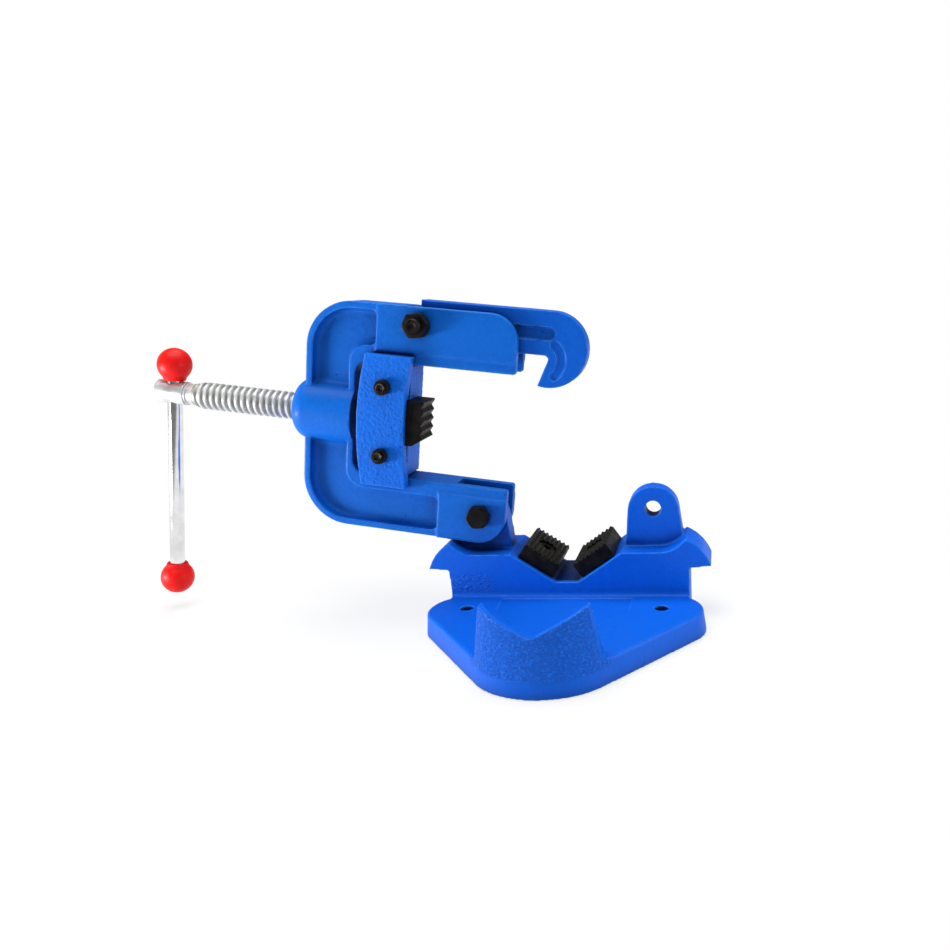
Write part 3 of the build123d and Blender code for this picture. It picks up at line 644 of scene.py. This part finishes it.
def grid_solid(name, rows, columns, point):
    """A mesh from point(row, column) in millimetres; the last column meets the first."""
    mesh = bmesh.new()
    grid = [
        [mesh.verts.new(Vector(point(i, j)) * MM) for j in range(columns + 1)] for i in range(rows)
    ]
    for low, high in zip(grid, grid[1:]):
        for j in range(columns):
            mesh.faces.new((low[j], low[j + 1], high[j + 1], high[j]))
    bmesh.ops.remove_doubles(mesh, verts=mesh.verts, dist=merge_distance)
    bmesh.ops.dissolve_degenerate(mesh, dist=merge_distance, edges=mesh.edges)
    bmesh.ops.recalc_face_normals(mesh, faces=mesh.faces)
    data = bpy.data.meshes.new(name)
    mesh.to_mesh(data)
    mesh.free()
    return data


def on_circle(radius, height, j, columns):
    angle = 2 * pi * j / columns
    return (radius * cos(angle), radius * sin(angle), height)


def turned(name, profile, columns=96):
    """A lathe piece about Z from (radius, height) points."""
    return grid_solid(name, len(profile), columns, lambda i, j: on_circle(*profile[i], j, columns))


print("lathe ready, merging points closer than", merge_distance, "m")

# %% Round the corners of a profile
def eased(corners, steps=5):
    """A curve through (radius, height, rounding) corners: a Bezier arc at each rounded one."""
    points = []
    for i, (r, z, rounding) in enumerate(corners):
        if rounding == 0:
            points.append((r, z))
            continue
        here = Vector((r, z))
        before = (Vector(corners[i - 1][:2]) - here).normalized() * rounding
        after = (Vector(corners[i + 1][:2]) - here).normalized() * rounding
        for k in range(steps + 1):
            t = k / steps
            curve = here + before * (1 - t) ** 2 + after * t ** 2
            points.append((curve.x, curve.y))
    return points


print("one rounded corner becomes", len(eased([(0, 0, 0), (1, 0, 0.2), (1, 1, 0)])) - 2, "points")

# %% [markdown]
# ## Placing a piece
# A new piece needs five things: its place, smooth shading that stays crisp at the sharp edges, a
# finish, the body that carries it, and the node of the frame that it stands for. One function
# does all five, so that none is forgotten.

# %% Put a piece in the scene
sharp_angle = radians(32)


def shade_crisp(mesh):
    for face in mesh.polygons:
        face.use_smooth = True
    mesh.set_sharp_from_angle(angle=sharp_angle)


def moved(mesh, matrix):
    mesh.transform(matrix)
    return mesh


def place(mesh, matrix, material, slot, body, *nodes):
    """Moves a mesh to its place, shades it, and says what carries it and what it stands for."""
    shade_crisp(moved(mesh, matrix))
    mesh.materials.append(material)
    piece = bpy.data.objects.new(mesh.name, mesh)
    bpy.context.scene.collection.objects.link(piece)
    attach(piece, body)
    if nodes:
        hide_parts(*nodes)
    print(mesh.name, "has", len(mesh.polygons), "faces")
    return piece


print("edges over", round(degrees(sharp_angle)), "degrees stay crisp")

# %% [markdown]
# ## The screw
# The screw has a coarse trapezoidal thread, 20 mm across with a 5 mm pitch. Its crests are flat
# and catch the light, and the grooves between them look grey. A bump texture could fake it, but
# the notches would be missing from the outline. So one pitch is a short list of (rise, depth)
# points, and every row of the grid repeats one of them and climbs as it goes round. Towards both
# ends the crests are turned down to the root, as a lathe leaves them.

# %% One pitch of the thread
screw_thread = (
    (0.0, 0.25), (0.25, 0.0), (1.75, 0.0), (2.0, 0.25),
    (2.85, 1.8), (3.1, 2.0), (3.9, 2.0), (4.15, 1.8),
)
print("one pitch of thread has", len(screw_thread), "points")

# %% A threaded rod
def threaded(name, below, low, high, above, radius, pitch, profile, tapers, columns=64):
    """A lathe piece whose middle, from low to high, carries a right-hand thread."""
    turns = ceil((high - low) / pitch) + 1
    root = radius - max(depth for _, depth in profile)
    steps = [
        (low - pitch + turn * pitch + rise, depth)
        for turn in range(turns + 1) for rise, depth in profile
    ]
    count = len(below) + len(steps) + len(above)

    def point(i, j):
        if i < len(below):
            return on_circle(*below[i], j, columns)
        if i >= len(below) + len(steps):
            return on_circle(*above[i - len(below) - len(steps)], j, columns)
        start, depth = steps[i - len(below)]
        height = min(max(start + pitch * j / columns, low), high)
        crest = min(radius, root + (height - low) * tapers[0], root + (high - height) * tapers[1])
        return on_circle(max(root, min(radius - depth, crest)), height, j, columns)

    return grid_solid(name, count, columns, point)


print("thread cutter ready")

# %% Screw
journal_low, journal_high, neck_high, head_high = 138.5, 160.8, 304.6, 328.6
groove_low, groove_high = 146.35, 150.65
collar_low, collar_high = neck_high - 1.6, neck_high - 0.5
journal_radius, groove_radius, root_radius, thread_radius = 7.0, 5.25, 8.0, 10.0
neck_radius, collar_radius, relief_radius, head_radius = 7.5, 8.2, 7.6, 8.75
thread_pitch = 5.0
thread_tapers = (1.0, 0.24)

journal = eased([
    (0, journal_low, 0), (journal_radius, journal_low, 0.8),
    (journal_radius, groove_low, 0), (groove_radius, groove_low, 0.4),
    (groove_radius, groove_high, 0.4), (journal_radius, groove_high, 0),
    (journal_radius, journal_high, 0), (root_radius, journal_high, 0),
])
neck_and_head = eased([
    (root_radius, thread_high, 0), (neck_radius, thread_high, 0),
    (neck_radius, collar_low, 0), (collar_radius, collar_low, 0.25),
    (collar_radius, collar_high, 0.25), (relief_radius, collar_high, 0),
    (relief_radius, neck_high, 0), (head_radius, neck_high, 0.6),
    (head_radius, head_high, 1.3), (0, head_high, 0),
])
screw_mesh = threaded(
    "screw", journal, journal_high, thread_high, neck_and_head,
    thread_radius, thread_pitch, screw_thread, thread_tapers,
)
screw = place(screw_mesh, screw_place, bright_screw, "bright_steel", "screw", "spindle")

# %% [markdown]
# ## The hole in the head
# The bar slides in a hole across the screw's head. A grid can't have a hole in its side, so it
# is drilled as on the bench: a rod is laid through the head and a Boolean modifier takes it away.
# The result is kept as a plain mesh, which is lighter and can't change later.

# %% Drill the head
def drill(piece, rod):
    """Cuts one mesh out of a piece and keeps only the result."""
    cutter = bpy.data.objects.new(rod.name, rod)
    bpy.context.scene.collection.objects.link(cutter)
    modifier = piece.modifiers.new("hole", "BOOLEAN")
    modifier.operation = "DIFFERENCE"
    modifier.solver = "EXACT"
    modifier.object = cutter
    bpy.context.view_layer.update()
    graph = bpy.context.evaluated_depsgraph_get()
    result = bpy.data.meshes.new_from_object(piece.evaluated_get(graph))
    piece.modifiers.remove(modifier)
    piece.data = result
    bpy.data.objects.remove(cutter)
    shade_crisp(result)


bar_height = 315.5
hole_radius, hole_reach = 5.7, 12
across_head = Matrix.Translation((0, 0, bar_height * MM)) @ Matrix.Rotation(pi / 2, 4, "Y")
bar_place = screw_place @ across_head
hole = [(0, -hole_reach), (hole_radius, -hole_reach), (hole_radius, hole_reach), (0, hole_reach)]
drill(screw, moved(turned("bar_hole", hole, 64), bar_place))
print("screw drilled,", len(screw.data.polygons), "faces")

# %% [markdown]
# ## The bar
# A round bar slides through the head of the screw until a ball stops it. A cylinder from the Add
# menu would have knife edges, so the bar is turned too, with a small rounding at its ends. The
# ends are inside the balls, and their places come from the balls' own sizes.

# %% Bar
ball_radius = 12.45
neck_reach = 11.7
socket_depth = 8.0
bar_radius = 5.5
head_clearance = 0.3
upper_ball_x = head_radius + head_clearance + neck_reach
lower_ball_x = -146.5
bar_start = lower_ball_x + neck_reach - socket_depth
bar_end = upper_ball_x - neck_reach + socket_depth
bar_profile = eased([
    (0, bar_start, 0), (bar_radius, bar_start, 0.6), (bar_radius, bar_end, 0.6), (0, bar_end, 0),
])
place(turned("bar", bar_profile), bar_place, bright_bar, "bright_steel", "handle", "handle_bar")

# %% [markdown]
# ## The knobs
# Each end of the bar carries a moulded ball, which runs into a short tapered neck with a rolled
# lip, where the mould closed round the bar. A UV sphere with a cone would show a seam between
# them. One profile gives the ball, the neck and the hollow for the bar in a single closed skin.

# %% Knobs
ball_steps = 32
knob_neck, knob_lip, knob_bore = 7.6, 5.8, 5.55
blend_angle = 0.11


def ball_profile():
    """A ball on a tapered neck, hollow where the bar goes in."""
    points = [(0, -ball_radius)]
    meet = asin(knob_neck / ball_radius)
    for k in range(1, ball_steps + 1):
        angle = pi - (pi - meet - blend_angle) * k / ball_steps
        points.append((ball_radius * sin(angle), ball_radius * cos(angle)))
    socket_end = neck_reach - socket_depth
    points += eased([
        (*points[-1], 0), (knob_neck, neck_reach, 0.4), (knob_lip, neck_reach, 0.3),
        (knob_bore, neck_reach - 0.6, 0), (knob_bore, socket_end, 0), (0, socket_end, 0),
    ])[1:]
    return points


for end, x, half_turn in (("lower", lower_ball_x, 0), ("upper", upper_ball_x, pi)):
    matrix = bar_place @ Matrix.Translation((0, 0, x * MM)) @ Matrix.Rotation(half_turn, 4, "X")
    knob = turned("knob_" + end, ball_profile())
    place(knob, matrix, red, "red_knob", "handle", "handle_ball_" + end)

# %% [markdown]
# ## Bolt heads and nuts
# A bolt head is a hexagon whose corners are turned off at 30 degrees, so each flat ends in a
# curved line. A cylinder with six sides and a Bevel would round the edges evenly, and that line
# would be lost. Here the wall's radius follows the hexagon round the axis, and its height drops
# where a corner stands out. A nut is the same with a bore, and both ends of its wall are turned.

# %% Hexagons
turned_off = radians(30)
ring_share, middle_share = 0.95, 0.97
bore_foot, bore_top = 0.4, 0.5


def hex_radius(across, angle, worn):
    """Distance from the centre to the flat; worn is the share of the corner that is left."""
    sector = (angle % (pi / 3)) - pi / 6
    return min(across / 2 / cos(sector), across / sqrt(3) * worn)


def hex_mesh(name, across, height, bore=0.0, worn=0.985, columns=96):
    """A head (bore 0) or a nut standing on z = 0. A row without a radius is on the wall."""
    ring = across / 2 * ring_share
    if bore:
        rows = [
            (bore, bore_foot), (bore + bore_foot, 0.0), (ring, 0.0), (None, "turned foot"),
            (None, "turned top"), (ring, height), (bore + bore_top, height),
            (bore, height - bore_top), (bore, bore_foot),
        ]
    else:
        rows = [
            (0.0, 0.0), (ring, 0.0), (None, "plain foot"),
            (None, "turned top"), (ring, height), (ring * middle_share, height), (0.0, height),
        ]

    def point(i, j):
        radius, level = rows[i]
        if radius is not None:
            return on_circle(radius, level, j, columns)
        reach = hex_radius(across, 2 * pi * j / columns, worn)
        drop = max(reach - ring, 0) * tan(turned_off)
        heights = {"plain foot": 0.0, "turned foot": drop, "turned top": height - drop}
        return on_circle(reach, heights[level], j, columns)

    return grid_solid(name, len(rows), columns, point)


print("a 16 mm nut is", round(2 * hex_radius(16, 0, 1), 2), "mm across its corners")

# %% [markdown]
# ## Bolt ends
# A bolt's threaded end stands out of its nut, with a chamfer and a dimple in the middle, where
# the lathe held it. The screw's own thread cutter is used again with a finer profile, sized by
# the bolt's diameter, so a bolt of any size takes one line.

# %% Bolt shanks with thread
fine_thread = ((0.0, 0.06), (0.3, 0.0), (0.7, 0.55), (0.95, 0.55))
coarse_pitch = 1.5
depth_stretch, pitch_stretch = 1.1, 1.2
point_tapers = (1.0, 0.75)


def bolt_mesh(name, diameter, length, thread_length, dimple):
    """A threaded shank on z = 0; the small numbers of its point are those of a 10 mm bolt."""
    radius = diameter / 2
    scale = diameter / 10
    profile = tuple(
        (rise * coarse_pitch * scale, depth * depth_stretch * scale) for rise, depth in fine_thread
    )
    pitch = coarse_pitch * scale * pitch_stretch
    root = radius - max(depth for _, depth in profile)
    start = length - thread_length
    below = [(0, 0), (radius, 0), (radius, start - 0.5), (root, start)]
    above = eased([
        (root, length, 0), (root - 0.35 * scale, length, 0.15 * scale),
        (dimple, length, 0.3 * scale), (dimple * 0.62, length - 0.7 * scale, 0.2 * scale),
        (0, length - 0.8 * scale, 0),
    ])
    return threaded(name, below, start, length, above, radius, pitch, profile, point_tapers, 48)


print("a 10 mm bolt has a pitch of", round(coarse_pitch * pitch_stretch, 2), "mm")

# %% [markdown]
# ## Hardware that faces front or back
# Every bolt of the vise runs from front to back, but is modelled standing on z = 0. Two rotations
# could turn it, and it is easy to get them in the wrong order. The matrix below says outright
# where the piece's X, Y and Z go, and has the place in it too.

# %% Matrices to the front and to the back, and joining
def facing(centre, y, to_front):
    """Local Z points to the front (-Y) or to the back (+Y) at the depth y, in millimetres."""
    side = 1 if to_front else -1
    axes = Matrix(((side, 0, 0), (0, 0, -side), (0, 1, 0))).to_4x4()
    return Matrix.Translation(Vector((centre.x, y * MM, centre.z))) @ axes


def joined(name, *parts):
    """One mesh from several, which are then removed."""
    whole = bmesh.new()
    for part in parts:
        whole.from_mesh(part)
        bpy.data.meshes.remove(part)
    mesh = bpy.data.meshes.new(name)
    whole.to_mesh(mesh)
    whole.free()
    return mesh


to_front = facing(hinge_centre, yoke_y, True).to_3x3() @ Vector((0, 0, 1))
print("a bolt end in front points along", [round(v) for v in to_front])

# %% [markdown]
# ## Hinge and hook bolts
# Each pivot is a 10 mm bolt through both cheeks of a fork, with a nut on a washer at the far end.
# The hinge bolt's head is in front, and so is the hook bolt's nut. Both pivots are the same four
# shapes in other places, so one function makes them, and the shank's length is added up from
# what it passes through.

# %% Sizes across the forks
cheek = 15.25
washer_thickness = 1.8
nut_height = 8.0
point_length = 4.0
bolt_diameter, nut_across, nut_bore = 10.0, 16.0, 5.05
head_height, head_worn = 6.5, 0.96
shank_length = 2 * cheek + washer_thickness + nut_height + point_length


def washer_profile(outer):
    return eased([
        (5.1, 0, 0), (outer, 0, 0.3), (outer, washer_thickness, 0.5),
        (5.4, washer_thickness, 0.3), (5.1, 1.4, 0), (5.1, 0, 0),
    ])


print("the pivot bolts are", shank_length, "mm long under their heads")

# %% Hinge and hook bolts
def pivot(name, centre, head_front, head_across, washer_radius):
    """The bolt, nut and washer of one pivot."""
    side = -1 if head_front else 1
    head_y = yoke_y + side * cheek
    washer_y = yoke_y - side * cheek
    nut_y = yoke_y - side * (cheek + washer_thickness)
    steel = (blackened, "blackened_steel", "yoke")
    head = hex_mesh("head", head_across, head_height, worn=head_worn)
    shank = bolt_mesh("shank", bolt_diameter, shank_length, nut_height + point_length, 2.9)
    bolt = joined(
        name + "_bolt_detailed",
        moved(head, facing(centre, head_y, head_front)),
        moved(shank, facing(centre, head_y, not head_front)),
    )
    place(bolt, Matrix.Identity(4), *steel, name + "_bolt")
    nut = hex_mesh(name + "_nut_detailed", nut_across, nut_height, nut_bore)
    place(nut, facing(centre, nut_y, not head_front), *steel, name + "_nut")
    washer = turned(name + "_washer_detailed", washer_profile(washer_radius))
    place(washer, facing(centre, washer_y, not head_front), *steel, name + "_washer")


pivot("hinge", hinge_centre, True, 14.6, 10.0)
pivot("hook", hook_centre, False, 16.0, 8.4)

# %% [markdown]
# ## Carrier bolts and nuts
# Two 6 mm bolts draw the carrier's plate and its back together round the yoke's rails. Their nuts
# are in front. The two bolts are one node of the frame, and so are the two nuts, so each pair is
# joined into one mesh: an Array modifier would do that too, but here a loop is as short.

# %% Carrier bolts and nuts
slide_back = 14.05
plate_thickness = 8.0
carrier_bolt_height = 142.5
carrier_bolt_reach = 24.0
front_y = yoke_y - slide_back - plate_thickness
back_y = yoke_y + slide_back + plate_thickness
small_across, small_head, small_nut, small_bore, small_worn = 10.0, 4.0, 5.0, 3.05, 0.92
beyond_plate, small_thread, small_dimple = 7.0, 9.0, 1.7
small_length = back_y - front_y + beyond_plate

bolt_parts, nut_parts = [], []
for x in (-carrier_bolt_reach, carrier_bolt_reach):
    centre = lie_down @ (Vector((x, yoke_y, carrier_bolt_height)) * MM)
    head = hex_mesh("head", small_across, small_head)
    shank = bolt_mesh("shank", 6.0, small_length, small_thread, small_dimple)
    nut = hex_mesh("nut", small_across, small_nut, small_bore, small_worn)
    bolt_parts.append(moved(head, facing(centre, back_y, False)))
    bolt_parts.append(moved(shank, facing(centre, back_y, True)))
    nut_parts.append(moved(nut, facing(centre, front_y, True)))
for name, parts, finish in (
    ("carrier_bolts", bolt_parts, rubbed_steel), ("carrier_nuts", nut_parts, blackened),
):
    pair = joined(name + "_detailed", *parts)
    place(pair, Matrix.Identity(4), finish, "blackened_steel", "carrier", name)

# %% [markdown]
# ## Jaws
# The toothed jaws are shaped in steel and blackened. Their solids have the right teeth, so they
# only lose the knife edge of each tooth: a fine remesh and two rounds of smoothing wear it down.
# A Bevel modifier wants clean edges, and a solid's long triangles give it few. The upper jaw sits
# deeper in the carrier than its node does, so a copy of the node's mesh is moved there and
# replaces it.

# %% Jaws
jaw_inset = 4.4
jaw_cell, jaw_rounds, jaw_broad, jaw_sand = 0.35, 2, 0.05, 0.05

seated = frame["nodes"]["upper_jaw"].data.copy()
seated.name = "upper_jaw_seated"
seated.materials.clear()
deeper = Matrix.Translation(-screw_axis * jaw_inset * MM)
upper_jaw = place(seated, deeper, jaw_black, "blackened_steel", "carrier", "upper_jaw")
lower_jaws = [paint(name, jaw_black) for name in ("lower_jaw_left", "lower_jaw_right")]
for jaw in (*lower_jaws, upper_jaw):
    cast_skin(jaw, jaw_cell, jaw_rounds, jaw_broad, jaw_sand)
    print(jaw.name, "worn in cells of", jaw_cell, "mm")

# %% [markdown]
# ## Hidden screws and pin
# The jaws' screws and the pin that keeps the screw in the carrier hardly show. Their solids are
# good enough as they are, so they only take the blackened steel.

# %% Hidden screws and pin
for name in ("lower_jaw_screws", "upper_jaw_screw", "spindle_retaining_pin"):
    print(paint(name, blackened).name, "blackened")

# %% [markdown]
# ## Floor
# The vise stands on a white sheet that runs into a white background. The floor takes a soft
# shadow. A backdrop bent up behind the vise is the studio's way, but it would darken towards its
# edges. So the floor glows to the camera, a little near the vise and up to plain white far away,
# and no horizon shows. Mirrors see it glow too, but dimmer in front, where the sheet ends.

# %% Helpers for what a ray sees
def ray_kinds(tree):
    """1 for rays straight from the camera, and 1 for rays by way of a mirror or glass."""
    path = node(tree, "ShaderNodeLightPath").outputs
    return path["Is Camera Ray"], maths(
        tree, "MAXIMUM", path["Is Glossy Ray"], path["Is Transmission Ray"],
    )


def mix_shaders(tree, share, first, second):
    made = node(tree, "ShaderNodeMixShader")
    link(tree, share, made.inputs["Fac"])
    link(tree, first, made.inputs[1])
    link(tree, second, made.inputs[2])
    return made.outputs["Shader"]


print("ray helpers ready")

# %% Floor material
near_edge, far_edge, near_glow = 0.17, 0.45, 0.72
sheet_far, sheet_near, sheet_dim = -0.5, -0.25, 0.22
mirror_glow = 0.9

floor_material, tree, shader = new_material("floor_white")
set_sockets(shader, Base_Color=(0.9, 0.9, 0.9, 1), Roughness=0.9, Specular_IOR_Level=0.0)
floor_position = object_position(tree)
seen, mirrored = ray_kinds(tree)
distance = vector_maths(tree, "LENGTH", floor_position)["Value"]
far = ramp(tree, distance, near_edge, far_edge, near_glow, 1.0)
sheet = ramp(tree, separate(tree, floor_position)["Y"], sheet_far, sheet_near, sheet_dim, 1.0)
glow = node(tree, "ShaderNodeEmission", Strength=1.0)
link(tree, mix_colour(tree, mirrored, (1.0, 1.0, 1.0), sheet), glow.inputs["Color"])
share = maths(tree, "MULTIPLY", maths(tree, "MAXIMUM", seen, mirrored), far)
share = maths(tree, "MAXIMUM", share, maths(tree, "MULTIPLY", mirrored, mirror_glow))
white_sheet = mix_shaders(tree, share, shader.outputs["BSDF"], glow.outputs["Emission"])
link(tree, white_sheet, tree.nodes["Material Output"].inputs["Surface"])
print("the floor is plain white beyond", far_edge, "m")

# %% Floor
floor_half = 6.0
floor_centre = (-0.04, 0.0, -0.0006)
floor_mesh = bpy.data.meshes.new("floor")
corners = [(-1, -1), (1, -1), (1, 1), (-1, 1)]
floor_mesh.from_pydata(
    [(x * floor_half, y * floor_half, 0) for x, y in corners], [], [(0, 1, 2, 3)],
)
floor_mesh.materials.append(floor_material)
floor = bpy.data.objects.new("floor", floor_mesh)
floor.location = floor_centre
bpy.context.scene.collection.objects.link(floor)
print("floor laid", round(-floor_centre[2] / MM, 2), "mm under the vise")

# %% [markdown]
# ## World
# The camera sees plain white. What the paint and the steel mirror is bright at both sides, dim
# behind the vise and nearly dark in front, as in a room with two lit walls, so flat faces keep
# their colour and only faces that lean to a side shine. A room picture could give that, but two
# ramps on the ray's direction do it with nothing to load.

# %% World
ambient_light = 0.13
dim_front, dim_back, bright_side = 0.05, 0.2, 0.8

world = bpy.data.worlds.new("studio")
world.use_nodes = True
bpy.context.scene.world = world
tree = world.node_tree
ambient = tree.nodes["Background"]
set_sockets(ambient, Color=(1.0, 1.0, 1.0, 1), Strength=ambient_light)
direction = separate(tree, node(tree, "ShaderNodeTexCoord").outputs["Generated"])
behind = ramp(tree, direction["Y"], -0.25, 0.4, dim_front, dim_back)
beside = ramp(tree, maths(tree, "ABSOLUTE", direction["X"]), 0.45, 0.95, 0.0, bright_side)
room = node(tree, "ShaderNodeBackground", Strength=1.0)
link(tree, maths(tree, "MAXIMUM", behind, beside), room.inputs["Color"])
white = node(tree, "ShaderNodeBackground", Color=(1, 1, 1, 1), Strength=1.0)
seen, mirrored = ray_kinds(tree)
lit = mix_shaders(tree, mirrored, ambient.outputs["Background"], room.outputs["Background"])
shown = mix_shaders(tree, seen, lit, white.outputs["Background"])
link(tree, shown, tree.nodes["World Output"].inputs["Surface"])
print("world set, with an ambient light of", ambient_light)

# %% [markdown]
# ## Lamps
# Three area lamps light the vise. The key stands low at the left and a little in front, so that
# undersides and left faces are bright. A larger fill at the right opens the shadows, and a wide
# sheet overhead lights the plate and lays the soft shadow on the floor. Point lamps would be
# simpler, but their shadows have hard edges.

# %% Lamps
def lamp(name, position, target, size, power):
    data = bpy.data.lights.new(name, "AREA")
    data.shape = "RECTANGLE"
    data.size, data.size_y = size
    data.energy = power
    made = bpy.data.objects.new(name, data)
    made.location = position
    aim = Vector(target) - Vector(position)
    made.rotation_euler = aim.to_track_quat("-Z", "Y").to_euler()
    bpy.context.scene.collection.objects.link(made)
    print(name, "lamp,", power, "watts")


saddle = (-0.05, 0.0, 0.08)
middle = (-0.06, 0.03, 0.1)
lamp("key", (-0.72, -0.26, 0.07), saddle, (0.3, 0.12), 4.6)
lamp("fill", (1.05, -0.15, 0.15), middle, (0.6, 0.5), 6.0)
lamp("top", (-0.1, 0.05, 1.2), middle, (1.2, 1.0), 19)

# %% [markdown]
# ## View settings
# Blender's usual view transform softens bright colours, which greys a white floor and a strong
# blue. Standard shows each colour as it is written in the materials above.

# %% View settings
bpy.context.scene.view_settings.view_transform = "Standard"
print("view transform:", bpy.context.scene.view_settings.view_transform)
